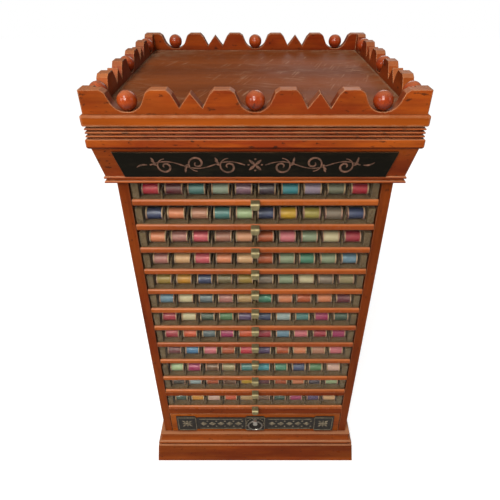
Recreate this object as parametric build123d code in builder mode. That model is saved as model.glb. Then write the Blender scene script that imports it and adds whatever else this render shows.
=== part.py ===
from build123d import *
from math import atan2, cos, sin, sqrt
import os

os.makedirs("parts", exist_ok=True)

# Counter cabinet for wound thread: twelve shallow glass-fronted drawers over one wooden drawer,
# a moulded plinth, a reeded cornice and a castellated gallery round the top tray.
# X to the right, Y to the back, Z up. The origin is the middle of the footprint on the floor.

# Carcass
body_width = 460.0
body_depth = 450.0
side_thickness = 18.0
back_thickness = 8.0
rail_depth = 20.0
floor_board_thickness = 14.0

# Heights, from the floor up
plinth_height = 60.0
base_moulding_height = 36.0
bottom_opening = 70.4
lower_rail_height = 19.8
divider_height = 11.2
drawer_pitch = 49.6
upper_drawers = 8
lower_drawer_pitches = (46.5, 57.0, 52.5)
bead_height = 4.0
bead_groove_height = 3.6
frieze_height = 51.0
nose_height = 15.6
reed_count = 3
reed_height = 2.6
reed_groove_height = 3.0
top_board_thickness = 17.0
gallery_height = 35.5

# How far each moulding stands out from the faces of the carcass
plinth_foot_out = 25.0
plinth_top_out = 18.5
plinth_edge_chamfer = 2.0
base_quirk_out = 12.0
base_quirk_height = 3.0
base_torus_out = 17.0
base_torus_radius = 4.5
base_fillet_height = 1.5
base_cove_out = 8.5
base_cove_depth = 1.6
base_ledge_out = 10.0
base_ledge_height = 5.0
bead_out = 15.0
bead_groove_depth = 3.5
frieze_low_out = 12.5
frieze_top_out = 22.0
nose_out = 27.0
nose_lower_round = 5.0
nose_upper_round = 1.2
reed_out = 25.5
reed_depth = 4.5
reed_rise = 0.8
top_board_out = 28.0
top_board_round = 3.0

# Gallery boards: U notches that hold balls, and a pointed tooth between each two notches
gallery_out = 23.5
gallery_thickness = 18.0
ball_spacing = 187.0
ball_diameter = 29.5
ball_flat = 0.4
notch_floor = 4.0
notch_seat_half = 3.8
notch_waist_half = 24.0
notch_waist_height = 19.5
notch_curve_half = 16.5
notch_curve_height = 9.3
notch_shoulder_half = 29.0
notch_shoulder_height = 31.0
notch_mouth_half = 36.0
tooth_mouth_half = 34.0
tooth_shoulder_half = 27.0
tooth_shoulder_height = 28.5
tooth_valley_half = 17.0
tooth_valley_height = 9.5
tooth_peak_height = 31.5
shoulder_round = 5.0

# Sign panel on the front frieze, narrower at its foot
sign_top_half = 222.0
sign_foot_half = 210.0
sign_thickness = 3.0
sign_head_margin = 5.2
sign_foot_margin = 1.2

# Glass-fronted drawers
drawer_side_gap = 1.8
box_side_gap = 2.5
drawer_gap = 0.8
drawer_back_gap = 20.0
front_proud = 3.0
front_rail_height = 12.0
front_rail_round = 3.5
front_lip = 4.5
ledge_height = 8.0
ledge_depth = 9.5
pane_thickness = 2.5
pane_clearance = 0.1
box_side_thickness = 11.5
box_side_height = 33.0
box_floor_thickness = 3.0
box_back_thickness = 8.0
lane_count = 10
slat_thickness = 2.5
slat_height = 16.0

# Runners under the drawer sides
runner_thickness = 7.5
runner_width = 13.0
running_gap = 0.3

# Wound spools
spool_length = 31.0
spool_radius = 12.0
spool_bore_radius = 3.5
flange_thickness = 2.3
flange_round = 0.6
winding_end_radius = 10.4
winding_middle_radius = 11.2
spool_setback = 21.5
spool_gap = 0.05

# Brass finger pulls
pull_width = 15.0
pull_thickness = 1.6
pull_foot = 3.6
pull_reach = 15.0
pull_bend = 4.0
pull_root_bend = 1.0
pull_rise = 12.0
pull_tip = 0.6
pull_corner = 6.0

# Bottom drawer
bottom_front_thickness = 18.0
bottom_front_proud = 1.0
bottom_front_gap = 0.4
bottom_side_height = 52.0
bottom_floor_thickness = 5.0

# Black pull plate and its drop ring
plate_thickness = 2.5
plate_half = 196.0
plate_end_width = 52.0
plate_middle_half = 27.5
plate_foot = 5.2
plate_end_height = 56.5
plate_bar_inset = 5.0
plate_scallop = 6.0
post_radius = 5.0
post_length = 10.0
post_eye_radius = 3.25
ring_radius = 17.0
ring_wire_radius = 2.25
ring_standoff = 5.0
ring_drop_from_top = 11.0
boss_radius = 6.0
boss_height = 3.0
boss_round = 1.5

# Levels and places that follow from the sizes above
half_width = body_width / 2
half_depth = body_depth / 2
opening_half = half_width - side_thickness
base_top = plinth_height + base_moulding_height
lower_rail_floor = base_top + bottom_opening
first_slot = lower_rail_floor + lower_rail_height
divider_floor = first_slot + drawer_pitch
upper_slots_floor = divider_floor + divider_height + sum(lower_drawer_pitches)
opening_top = upper_slots_floor + upper_drawers * drawer_pitch
frieze_floor = opening_top + 2 * bead_height + bead_groove_height
nose_floor = frieze_floor + frieze_height
reeds_floor = nose_floor + nose_height
reed_pitch = reed_height + reed_groove_height
top_board_floor = reeds_floor + reed_groove_height + reed_count * reed_pitch
tray_floor = top_board_floor + top_board_thickness
carcass_back = half_depth - back_thickness
drawer_back = carcass_back - drawer_back_gap
front_half = opening_half - drawer_side_gap
box_half = opening_half - box_side_gap
box_inner_half = box_half - box_side_thickness
rail_front = -half_depth - front_proud
pane_front = rail_front + front_lip
pane_back = pane_front + pane_thickness + pane_clearance
lane_pitch = (2 * box_inner_half + slat_thickness) / lane_count


def board(low, high):
    """A square-edged board between two opposite corners."""
    size = [top - bottom for bottom, top in zip(low, high)]
    with BuildPart() as piece:
        with Locations(low):
            Box(*size, align=Align.MIN)
    return piece.part


def write_node(name, pieces):
    """Write one node whose pieces stay separate solids."""
    export_step(Compound(label=name, children=pieces), f"parts/{name}.step")


# ---- Mouldings: one section, cut into four mitred lengths round the carcass ----

def mitred_length(section, half_run, face, reach, angle):
    """A length of moulding whose section is drawn as (distance out from the face, height)."""
    outward = Plane(origin=(0, -face, 0), x_dir=(0, -1, 0), z_dir=(-1, 0, 0))
    with BuildPart() as piece:
        with BuildSketch(outward):
            add(section)
        extrude(amount=half_run + 2 * reach, both=True)
        with BuildSketch() as wedge:
            with BuildLine():
                Polyline(
                    (-half_run - reach, -face - reach),
                    (half_run + reach, -face - reach),
                    (half_run - reach, -face + reach),
                    (-half_run + reach, -face + reach),
                    close=True,
                )
            make_face()
        extrude(to_extrude=wedge.sketch, amount=2 * tray_floor, mode=Mode.INTERSECT)
    return piece.part.rotate(Axis.Z, angle)


def moulding_round_case(section, reach):
    """The four mitred lengths of one moulding: front, right, back and left."""
    lengths = []
    for quarter in range(4):
        on_long_side = quarter % 2 == 0
        half_run = half_width if on_long_side else half_depth
        face = half_depth if on_long_side else half_width
        lengths.append(mitred_length(section, half_run, face, reach, 90 * quarter))
    return lengths


# The plinth board stands wider at the floor than at its top.
with BuildSketch() as plinth_section:
    with BuildLine():
        Polyline(
            (0, 0),
            (plinth_foot_out, 0),
            (plinth_top_out, plinth_height - plinth_edge_chamfer),
            (plinth_top_out - plinth_edge_chamfer, plinth_height),
            (0, plinth_height),
            close=True,
        )
    make_face()

# The base moulding: a quirk, a torus, a hollow above it and a narrow ledge against the carcass.
torus_floor = plinth_height + base_quirk_height
torus_root = base_torus_out - base_torus_radius
torus_top = torus_floor + 2 * base_torus_radius
cove_floor = torus_top + base_fillet_height
ledge_floor = base_top - base_ledge_height
cove_middle = ((torus_root + base_cove_out) / 2 - base_cove_depth, (cove_floor + ledge_floor) / 2)
with BuildSketch() as base_section:
    with BuildLine():
        Polyline((torus_root, torus_floor), (base_quirk_out, torus_floor), (base_quirk_out, plinth_height),
                 (0, plinth_height), (0, base_top), (base_ledge_out, base_top), (base_ledge_out, ledge_floor),
                 (base_cove_out, ledge_floor))
        ThreePointArc((base_cove_out, ledge_floor), cove_middle, (torus_root, cove_floor))
        Line((torus_root, cove_floor), (torus_root, torus_top))
        ThreePointArc((torus_root, torus_top), (base_torus_out, torus_floor + base_torus_radius),
                      (torus_root, torus_floor))
    make_face()

write_node("plinth", moulding_round_case(plinth_section.sketch, plinth_foot_out)
           + moulding_round_case(base_section.sketch, base_torus_out))

# The frieze leans outwards to its top and ends below in two small beads with a groove between.
bead_radius = bead_height / 2
bead_root = bead_out - bead_radius
bead_groove_out = bead_out - bead_groove_depth
upper_bead_floor = opening_top + bead_height + bead_groove_height
with BuildSketch() as frieze_section:
    with BuildLine():
        Polyline((bead_root, frieze_floor), (frieze_low_out, frieze_floor), (frieze_top_out, nose_floor),
                 (0, nose_floor), (0, opening_top), (bead_root, opening_top))
        Polyline((bead_root, opening_top + bead_height), (bead_groove_out, opening_top + bead_height),
                 (bead_groove_out, upper_bead_floor), (bead_root, upper_bead_floor))
        for foot in (opening_top, upper_bead_floor):
            ThreePointArc((bead_root, foot), (bead_out, foot + bead_radius), (bead_root, foot + bead_height))
    make_face()

# The crown: a deep nose rounded at its foot, then reeds with deep grooves run along it.
groove_out = reed_out - reed_depth
with BuildSketch() as nose_section:
    with Locations((0, nose_floor)):
        Rectangle(nose_out, nose_height, align=Align.MIN)
    outer_corners = nose_section.vertices().group_by(Axis.X)[-1].sort_by(Axis.Y)
    fillet(outer_corners[0], nose_lower_round)
    fillet(nose_section.vertices().group_by(Axis.Y)[-1].sort_by(Axis.X)[-1], nose_upper_round)
with BuildSketch() as crown_section:
    add(nose_section.sketch)
    with BuildLine():
        Polyline((groove_out, reeds_floor), (0, reeds_floor), (0, top_board_floor), (groove_out, top_board_floor))
        for reed in range(reed_count):
            groove_floor = reeds_floor + reed * reed_pitch
            foot = groove_floor + reed_groove_height
            head = foot + reed_height
            Polyline((groove_out, groove_floor), (groove_out, foot), (reed_out - reed_rise, foot))
            ThreePointArc((reed_out - reed_rise, foot), (reed_out, (foot + head) / 2), (reed_out - reed_rise, head))
            Line((reed_out - reed_rise, head), (groove_out, head))
        Line((groove_out, reeds_floor + reed_count * reed_pitch), (groove_out, top_board_floor))
    make_face()

write_node("cornice", moulding_round_case(frieze_section.sketch, frieze_top_out)
           + moulding_round_case(crown_section.sketch, nose_out))

# ---- Carcass boards ----

case_frame = [
    board((side * half_width - (side_thickness if side > 0 else 0), -half_depth, 0),
          (side * half_width + (side_thickness if side < 0 else 0), half_depth, top_board_floor))
    for side in (-1, 1)
]
case_frame.append(board((-opening_half, -half_depth, base_top - floor_board_thickness),
                        (opening_half, carcass_back, base_top)))
for rail_floor, rail_top in (
    (lower_rail_floor, first_slot),
    (divider_floor, divider_floor + divider_height),
    (opening_top, top_board_floor),
):
    case_frame.append(board((-opening_half, -half_depth, rail_floor),
                            (opening_half, -half_depth + rail_depth, rail_top)))
write_node("case_frame", case_frame)

with BuildPart() as back_panel:
    with BuildSketch(Plane.XZ.offset(-half_depth)):
        with Locations((0, top_board_floor / 2)):
            Rectangle(2 * opening_half, top_board_floor)
    extrude(amount=back_thickness)
back_panel.part.label = "back_panel"
export_step(back_panel.part, "parts/back_panel.step")

with BuildPart() as top_board:
    with BuildSketch(Plane.XY.offset(top_board_floor)):
        Rectangle(body_width + 2 * top_board_out, body_depth + 2 * top_board_out)
    extrude(amount=top_board_thickness)
    fillet(top_board.edges().filter_by(Axis.Z), top_board_round)
    fillet(top_board.faces().filter_by(Axis.Z).edges(), top_board_round)
top_board.part.label = "top_board"
export_step(top_board.part, "parts/top_board.step")

# The sign panel lies on the sloping face of the front frieze, bare of any words.
frieze_slope = sqrt((frieze_top_out - frieze_low_out) ** 2 + frieze_height ** 2)
lean = atan2(frieze_top_out - frieze_low_out, frieze_height)
frieze_face = Plane(
    origin=(0, -half_depth - (frieze_low_out + frieze_top_out) / 2, frieze_floor + frieze_height / 2),
    x_dir=(1, 0, 0),
    z_dir=(0, -cos(lean), -sin(lean)),
)
sign_foot = sign_foot_margin - frieze_slope / 2
sign_head = frieze_slope / 2 - sign_head_margin
with BuildPart() as sign_panel:
    with BuildSketch(frieze_face):
        with BuildLine():
            Polyline((-sign_foot_half, sign_foot), (sign_foot_half, sign_foot),
                     (sign_top_half, sign_head), (-sign_top_half, sign_head), close=True)
        make_face()
    extrude(amount=sign_thickness)
sign_panel.part.label = "sign_panel"
export_step(sign_panel.part, "parts/sign_panel.step")

# ---- Gallery ----

with BuildSketch() as ball_notch:
    above = gallery_height + ball_diameter
    with BuildLine():
        for side in (-1, 1):
            ThreePointArc((side * notch_seat_half, notch_floor), (side * notch_curve_half, notch_curve_height),
                          (side * notch_waist_half, notch_waist_height))
            Polyline((side * notch_waist_half, notch_waist_height),
                     (side * notch_shoulder_half, notch_shoulder_height),
                     (side * notch_mouth_half, gallery_height), (side * notch_mouth_half, above))
        Line((-notch_seat_half, notch_floor), (notch_seat_half, notch_floor))
        Line((-notch_mouth_half, above), (notch_mouth_half, above))
    make_face()

with BuildSketch() as tooth_gap:
    with BuildLine():
        for side in (-1, 1):
            Polyline((0, tooth_peak_height), (side * tooth_valley_half, tooth_valley_height),
                     (side * tooth_shoulder_half, tooth_shoulder_height),
                     (side * tooth_mouth_half, gallery_height), (side * tooth_mouth_half, above))
        Line((-tooth_mouth_half, above), (tooth_mouth_half, above))
    make_face()


def is_shoulder(corner, half_run):
    """True at the upper corners of a notch, where the worn edge is rounded."""
    near_top = corner.Z > tray_floor + gallery_height - shoulder_round / 2
    return near_top and abs(corner.X) < half_run - shoulder_round


def gallery_board(half_run, face, angle):
    """One castellated board, mitred at both ends, with its outer face at the given distance."""
    with BuildPart() as piece:
        with BuildSketch(Plane(origin=(0, -face, tray_floor), x_dir=(1, 0, 0), z_dir=(0, -1, 0))) as outline:
            Rectangle(2 * half_run, gallery_height, align=(Align.CENTER, Align.MIN))
            with Locations(*[(place * ball_spacing, 0) for place in (-1, 0, 1)]):
                add(ball_notch.sketch, mode=Mode.SUBTRACT)
            with Locations(*[(place * ball_spacing / 2, 0) for place in (-1, 1)]):
                add(tooth_gap.sketch, mode=Mode.SUBTRACT)
            mouths = [corner for corner in outline.vertices() if is_shoulder(corner, half_run)]
            fillet(mouths, shoulder_round)
        extrude(amount=-gallery_thickness)
        with BuildSketch() as wedge:
            with BuildLine():
                Polyline(
                    (-half_run, -face),
                    (half_run, -face),
                    (half_run - gallery_thickness, -face + gallery_thickness),
                    (-half_run + gallery_thickness, -face + gallery_thickness),
                    close=True,
                )
            make_face()
        extrude(to_extrude=wedge.sketch, amount=2 * tray_floor, mode=Mode.INTERSECT)
    return piece.part.rotate(Axis.Z, angle)


gallery_half_x = half_width + gallery_out
gallery_half_y = half_depth + gallery_out
write_node("gallery_boards", [
    gallery_board(gallery_half_x if quarter % 2 == 0 else gallery_half_y,
                  gallery_half_y if quarter % 2 == 0 else gallery_half_x, 90 * quarter)
    for quarter in range(4)
])

# Each ball stands on a small flat in its notch.
ball_height = tray_floor + notch_floor + ball_diameter / 2 - ball_flat
with BuildPart() as ball:
    Sphere(ball_diameter / 2)
    split(bisect_by=Plane.XY.offset(ball_flat - ball_diameter / 2), keep=Keep.TOP)
ball_x = gallery_half_x - gallery_thickness / 2
ball_y = gallery_half_y - gallery_thickness / 2
ball_places = [(place * ball_spacing, side * ball_y) for place in (-1, 0, 1) for side in (-1, 1)]
ball_places += [(side * ball_x, place * ball_spacing) for place in (-1, 0, 1) for side in (-1, 1)]
with BuildPart() as gallery_balls:
    with Locations(*[(x, y, ball_height) for x, y in ball_places]):
        add(ball.part)
gallery_balls.part.label = "gallery_balls"
export_step(gallery_balls.part, "parts/gallery_balls.step")

# ---- Glass-fronted drawers ----

with BuildPart() as spool:
    with BuildSketch() as spool_section:
        half_spool = spool_length / 2
        half_winding = half_spool - flange_thickness
        with BuildLine():
            Polyline((-half_winding, winding_end_radius), (-half_winding, spool_radius),
                     (-half_spool, spool_radius), (-half_spool, spool_bore_radius),
                     (half_spool, spool_bore_radius), (half_spool, spool_radius),
                     (half_winding, spool_radius), (half_winding, winding_end_radius))
            ThreePointArc((half_winding, winding_end_radius), (0, winding_middle_radius),
                          (-half_winding, winding_end_radius))
        make_face()
        fillet(spool_section.vertices().group_by(Axis.Y)[-1], flange_round)
    revolve(axis=Axis.X)


def spool_row(floor):
    """The front row of spools: one lying across each lane, its flanges on the drawer floor."""
    first_lane = -lane_pitch * (lane_count - 1) / 2
    height = floor + spool_radius + spool_gap
    with BuildPart() as row:
        with Locations(*[(first_lane + lane * lane_pitch, -half_depth + spool_setback, height)
                         for lane in range(lane_count)]):
            add(spool.part)
    return row.part


def front_rail(foot):
    """The drawer's bullnosed front rail, rebated behind its lip for the pane and the box."""
    with BuildPart() as piece:
        with BuildSketch(Plane.YZ) as section:
            with BuildLine():
                Polyline((rail_front, foot), (rail_front, foot + front_rail_height),
                         (pane_front - pane_clearance, foot + front_rail_height),
                         (pane_front - pane_clearance, foot + ledge_height),
                         (pane_front + ledge_depth, foot + ledge_height), (pane_front + ledge_depth, foot),
                         close=True)
            make_face()
            nose = section.vertices().group_by(Axis.X)[0]
            fillet(nose, front_rail_round)
        extrude(amount=front_half, both=True)
    return piece.part


def drawer_box(foot):
    """Rail, floor, sides, back and lane slats of one drawer, each a separate board."""
    ledge = foot + ledge_height
    floor = ledge + box_floor_thickness
    pieces = [front_rail(foot)]
    pieces.append(board((-box_inner_half, pane_back, ledge), (box_inner_half, drawer_back, floor)))
    for side in (-1, 1):
        inner, outer = sorted((side * box_inner_half, side * box_half))
        pieces.append(board((inner, pane_back, ledge), (outer, drawer_back, ledge + box_side_height)))
    pieces.append(board((-box_inner_half, drawer_back - box_back_thickness, floor),
                        (box_inner_half, drawer_back, ledge + box_side_height)))
    for slat in range(1, lane_count):
        middle = -box_inner_half - slat_thickness / 2 + slat * lane_pitch
        pieces.append(board((middle - slat_thickness / 2, pane_back, floor),
                            (middle + slat_thickness / 2, drawer_back - box_back_thickness, floor + slat_height)))
    return pieces


def glass_pane(foot, head):
    """The pane stands on the rail's ledge, between its lip and the front ends of the box."""
    return board((-front_half, pane_front, foot + ledge_height),
                 (front_half, pane_front + pane_thickness, head))


def finger_pull(foot):
    """A bent brass tab: a foot flat on the rail, then forward and down in a round bend."""
    plane = Plane(origin=(0, rail_front, foot), x_dir=(0, -1, 0), z_dir=(-1, 0, 0))
    with BuildPart() as piece:
        with BuildSketch(plane) as section:
            with BuildLine() as path:
                FilletPolyline((pull_thickness / 2, pull_foot), (pull_thickness / 2, pull_rise),
                               (pull_reach, pull_rise), (pull_reach, pull_tip), radius=(pull_root_bend, pull_bend))
            trace(path.line, line_width=pull_thickness)
        extrude(amount=pull_width / 2, both=True)
        tip_corners = piece.edges().filter_by(Axis.Y).group_by(Axis.Z)[0]
        fillet(tip_corners, pull_corner)
    return piece.part


runners = []


def add_runners(top):
    """A pair of runners on the side boards, under the two sides of one drawer."""
    for side in (-1, 1):
        inner, outer = sorted((side * (opening_half - runner_width), side * opening_half))
        start = pane_front + ledge_depth + running_gap
        runners.append(board((inner, start, top - runner_thickness), (outer, carcass_back, top)))


slots = [(first_slot, drawer_pitch)]
level = divider_floor + divider_height
for pitch in [*lower_drawer_pitches] + [drawer_pitch] * upper_drawers:
    slots.append((level, pitch))
    level += pitch

for number, (slot_floor, pitch) in enumerate(reversed(slots), start=1):
    foot = slot_floor + drawer_gap / 2
    head = slot_floor + pitch - drawer_gap / 2
    ledge = foot + ledge_height
    name = f"drawer_{number:02d}"
    write_node(f"{name}_box", drawer_box(foot))
    pane = glass_pane(foot, head)
    pane.label = f"{name}_glass"
    export_step(pane, f"parts/{name}_glass.step")
    row = spool_row(ledge + box_floor_thickness)
    row.label = f"{name}_spools"
    export_step(row, f"parts/{name}_spools.step")
    pull = finger_pull(foot)
    pull.label = f"{name}_pull"
    export_step(pull, f"parts/{name}_pull.step")
    add_runners(ledge - running_gap)

write_node("drawer_runners", runners)

# ---- Bottom drawer ----

bottom_foot = base_top + bottom_front_gap
bottom_head = lower_rail_floor - bottom_front_gap
bottom_face = -half_depth - bottom_front_proud
bottom_inside = bottom_face + bottom_front_thickness
bottom_floor_top = bottom_foot + bottom_floor_thickness
bottom_drawer = [
    board((-front_half, bottom_face, bottom_foot), (front_half, bottom_inside, bottom_head)),
    board((-box_inner_half, bottom_inside, bottom_foot), (box_inner_half, drawer_back, bottom_floor_top)),
    board((-box_inner_half, drawer_back - box_back_thickness, bottom_floor_top),
          (box_inner_half, drawer_back, bottom_foot + bottom_side_height)),
]
for side in (-1, 1):
    inner, outer = sorted((side * box_inner_half, side * box_half))
    bottom_drawer.append(board((inner, bottom_inside, bottom_foot),
                               (outer, drawer_back, bottom_foot + bottom_side_height)))
write_node("bottom_drawer", bottom_drawer)

# The cast plate: wide ends and a wide middle joined by narrower bars, with the ring's post.
plate_floor = bottom_foot + plate_foot
plate_top = plate_floor + plate_end_height
ring_pivot = plate_top - ring_drop_from_top
ring_y = bottom_face - plate_thickness - ring_standoff
plate_middle = (plate_floor + plate_top) / 2
with BuildPart() as plate:
    with BuildSketch(Plane.XZ.offset(-bottom_face)):
        with Locations((0, plate_middle)):
            Rectangle(2 * plate_half, plate_end_height - 2 * plate_bar_inset)
            Rectangle(2 * plate_middle_half, plate_end_height)
        with Locations(*[(side * (plate_half - plate_end_width / 2), plate_middle) for side in (-1, 1)]):
            Rectangle(plate_end_width, plate_end_height)
        for side in (-1, 1):
            for place in (plate_middle_half, plate_half - plate_end_width):
                with Locations(*[(side * place, edge) for edge in (plate_floor, plate_top)]):
                    Circle(plate_scallop, mode=Mode.SUBTRACT)
    extrude(amount=plate_thickness)

# The ring hangs in the eye of a short post, over a low round boss.
plate_face = Plane.XZ.offset(-bottom_face + plate_thickness)
with BuildPart() as post:
    with BuildSketch(plate_face):
        with Locations((0, ring_pivot)):
            Circle(post_radius)
    extrude(amount=post_length)
    with BuildSketch(Plane.YZ):
        with Locations((ring_y, ring_pivot)):
            Circle(post_eye_radius)
    extrude(amount=post_radius + plate_thickness, both=True, mode=Mode.SUBTRACT)
with BuildPart() as boss:
    with BuildSketch(plate_face):
        with Locations((0, ring_pivot - ring_radius)):
            Circle(boss_radius)
    extrude(amount=boss_height)
    fillet(boss.faces().sort_by(Axis.Y)[0].edges(), boss_round)
write_node("pull_plate", [plate.part, post.part, boss.part])

with BuildPart() as drop_ring:
    with Locations(Location((0, ring_y, ring_pivot - ring_radius), (90, 0, 0))):
        Torus(ring_radius, ring_wire_radius)
drop_ring.part.label = "drop_ring"
export_step(drop_ring.part, "parts/drop_ring.step")
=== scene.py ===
import random
from math import atan2, cos, pi, radians, sin

import bmesh
import bpy
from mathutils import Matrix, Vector


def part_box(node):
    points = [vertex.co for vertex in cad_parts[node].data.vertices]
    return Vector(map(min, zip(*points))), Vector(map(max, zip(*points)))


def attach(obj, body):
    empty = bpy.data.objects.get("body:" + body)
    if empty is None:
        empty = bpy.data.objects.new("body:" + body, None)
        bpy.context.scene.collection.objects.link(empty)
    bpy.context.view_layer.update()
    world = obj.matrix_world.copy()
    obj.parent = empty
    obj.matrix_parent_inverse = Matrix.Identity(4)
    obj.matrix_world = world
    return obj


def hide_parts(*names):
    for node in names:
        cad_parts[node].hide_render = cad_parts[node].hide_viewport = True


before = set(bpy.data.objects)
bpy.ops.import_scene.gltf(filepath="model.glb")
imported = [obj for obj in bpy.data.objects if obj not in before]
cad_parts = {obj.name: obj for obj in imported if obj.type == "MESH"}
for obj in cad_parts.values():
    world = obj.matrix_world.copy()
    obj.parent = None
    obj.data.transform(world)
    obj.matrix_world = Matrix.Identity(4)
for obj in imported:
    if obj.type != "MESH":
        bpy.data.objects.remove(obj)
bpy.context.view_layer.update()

# ---- Floor, lamps and camera ----
# The cabinet stands on a plain white floor in an even white room, under soft lamps.
# The camera looks down on it from close in front, a little above its top.

scene = bpy.context.scene
scene.view_settings.view_transform = "Standard"

FLOOR_GREY = 0.50
FLOOR_LIFT = 0.78
FLOOR_HALF = 6.0
ROOM_GREY = 0.16
WHITE = (1, 1, 1)


def connect(tree, node, inputs):
    """Fill a node's inputs: a socket is linked, any other value is set."""
    for name, value in inputs.items():
        socket = node.inputs[name]
        if isinstance(value, bpy.types.NodeSocket):
            tree.links.new(value, socket)
        else:
            socket.default_value = (*value, 1) if socket.type == "RGBA" else value
    return node


def add_node(tree, kind, inputs=None, **settings):
    """Add a shader node with its settings and inputs."""
    made = tree.nodes.new(kind)
    for name, value in settings.items():
        setattr(made, name, value)
    return connect(tree, made, inputs or {})


def calculated(tree, operation, first, second=0.0):
    """One arithmetic step between two values."""
    return add_node(tree, "ShaderNodeMath", {0: first, 1: second}, operation=operation).outputs[0]


def times(tree, first, second):
    """The product of two values."""
    return calculated(tree, "MULTIPLY", first, second)


def larger(tree, first, second):
    """The larger of two values."""
    return calculated(tree, "MAXIMUM", first, second)


def ranged(tree, value, low, high, out_low=0.0, out_high=1.0):
    """Map a value from one range to another, clamped."""
    return add_node(tree, "ShaderNodeMapRange", {"Value": value, "From Min": low, "From Max": high,
                                                 "To Min": out_low, "To Max": out_high}).outputs[0]


def seen_straight(tree):
    """1 for rays from the eye, also through glass; 0 for light on the object."""
    seen = add_node(tree, "ShaderNodeLightPath").outputs
    return larger(tree, seen["Is Camera Ray"], seen["Is Transmission Ray"])


def new_material(name):
    """A material with an empty node tree and its output node."""
    made = bpy.data.materials.new(name)
    made.use_nodes = True
    made.node_tree.nodes.clear()
    return made, made.node_tree, made.node_tree.nodes.new("ShaderNodeOutputMaterial")


floor_material, tree, output = new_material("floor_white")
paper = add_node(tree, "ShaderNodeBsdfDiffuse", {"Color": (FLOOR_GREY, FLOOR_GREY, FLOOR_GREY)})
glow = add_node(tree, "ShaderNodeEmission", {"Strength": times(tree, seen_straight(tree), FLOOR_LIFT)})
both = add_node(tree, "ShaderNodeAddShader", {0: paper.outputs[0], 1: glow.outputs[0]})
tree.links.new(both.outputs[0], output.inputs["Surface"])

floor_corners = [(FLOOR_HALF * x, FLOOR_HALF * y, 0) for x, y in ((-1, -1), (1, -1), (1, 1), (-1, 1))]
floor_mesh = bpy.data.meshes.new("floor")
floor_mesh.from_pydata(floor_corners, [], [(0, 1, 2, 3)])
floor_mesh.materials.append(floor_material)
floor = bpy.data.objects.new("floor", floor_mesh)
scene.collection.objects.link(floor)

# The room looks white to the eye but lights the object only a little.
world = bpy.data.worlds.new("room")
world.use_nodes = True
tree = world.node_tree
tree.nodes.clear()
strength = ranged(tree, seen_straight(tree), 0, 1, ROOM_GREY, 1.0)
walls = add_node(tree, "ShaderNodeBackground", {"Color": WHITE, "Strength": strength})
tree.links.new(walls.outputs[0], add_node(tree, "ShaderNodeOutputWorld").inputs["Surface"])
scene.world = world

# Each lamp's name, place, point it is aimed at, side in metres, power in watts and colour.
WARM = (1.0, 0.92, 0.82)
SOFT_LAMPS = [
    ("lamp_front", (-0.40, -1.85, 1.85), (0, -0.2, 0.6), 0.7, 27, WARM),
    ("lamp_left", (-1.7, -1.4, 1.6), (0, 0, 0.5), 0.8, 9, WARM),
    ("lamp_right", (1.9, -0.9, 1.6), (0, 0, 0.5), 0.8, 3, WARM),
    ("lamp_back", (0.6, 2.2, 2.0), (0, 0, 0.6), 1.2, 6.5, WHITE),
]
SUN_DIRECTION = (0.35, 0.75, -1.1)
SUN_STRENGTH = 1.3
SUN_SPREAD = 24


def add_lamp(name, kind, place, target, power, colour):
    """A lamp that shines from a place towards a point."""
    data = bpy.data.lights.new(name, kind)
    data.energy = power
    data.color = colour
    lamp = bpy.data.objects.new(name, data)
    lamp.location = place
    lamp.rotation_euler = (Vector(target) - Vector(place)).to_track_quat("-Z", "Y").to_euler()
    scene.collection.objects.link(lamp)
    return data


for name, place, target, size, power, colour in SOFT_LAMPS:
    lamp_data = add_lamp(name, "AREA", place, target, power, colour)
    lamp_data.shape = "SQUARE"
    lamp_data.size = size
add_lamp("lamp_room", "SUN", (0, 0, 0), SUN_DIRECTION, SUN_STRENGTH, WHITE).angle = radians(SUN_SPREAD)

# The camera stands 0.67 m before the case, 1.12 m up, and looks down by the angle solved from the photograph.
EYE_DISTANCE = 0.6697
EYE_HEIGHT = 1.1208
EYE_PITCH = 34.66
FOCAL_PIXELS = 442.5
FRAME_PIXELS = 500
FRAMING_PIXELS = 5.2
SENSOR = 36.0
NEAREST_SEEN = 0.02
CASE_HALF_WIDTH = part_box("case_frame")[1].x
CASE_HALF_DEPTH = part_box("case_frame")[1].y
camera_data = bpy.data.cameras.new("camera")
camera_data.sensor_width = SENSOR
camera_data.sensor_fit = "HORIZONTAL"
camera_data.lens = FOCAL_PIXELS / FRAME_PIXELS * SENSOR
camera_data.shift_x = -FRAMING_PIXELS / FRAME_PIXELS
camera_data.clip_start = NEAREST_SEEN
camera = bpy.data.objects.new("camera", camera_data)
camera.location = (0, -CASE_HALF_DEPTH - EYE_DISTANCE, EYE_HEIGHT)
camera.rotation_euler = (radians(90 - EYE_PITCH), 0, 0)
scene.collection.objects.link(camera)
scene.camera = camera

# ---- Carcass: side boards, rails and bottom board ----
# Cherry boards, dovetailed and glued, finished in orange-red shellac that has darkened with age.
# The rails run across the case and the side boards stand upright, so the grain turns between them.

SIDE_BOARD_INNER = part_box("back_panel")[1].x - 0.0004
# Rubbed cherry for worn arrises, and also the colour of the painted highlight on the tops of mouldings.
RUBBED_AND_HIGHLIGHT_CHERRY = (0.62, 0.30, 0.15)
HOLLOW_REACH = 0.007
GRAIN_AXES = {"across": (0, 1, 2), "deep": (1, 0, 2), "upright": (2, 0, 1)}


def new_group(name, inputs, outputs):
    """An empty shader group; each input is (name, kind, default) and each output (name, kind)."""
    group = bpy.data.node_groups.new(name, "ShaderNodeTree")
    for label, kind, value in inputs:
        socket = group.interface.new_socket(name=label, in_out="INPUT", socket_type=f"NodeSocket{kind}")
        if value is not None:
            socket.default_value = value
    for label, kind in outputs:
        group.interface.new_socket(name=label, in_out="OUTPUT", socket_type=f"NodeSocket{kind}")
    return group, group.nodes.new("NodeGroupInput").outputs, group.nodes.new("NodeGroupOutput").inputs


def use_group(tree, group, inputs):
    """Place a shader group in a material with its own values and return its outputs."""
    made = tree.nodes.new("ShaderNodeGroup")
    made.node_tree = group
    return connect(tree, made, inputs).outputs


def plus(tree, first, second):
    """The sum of two values."""
    return calculated(tree, "ADD", first, second)


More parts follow.
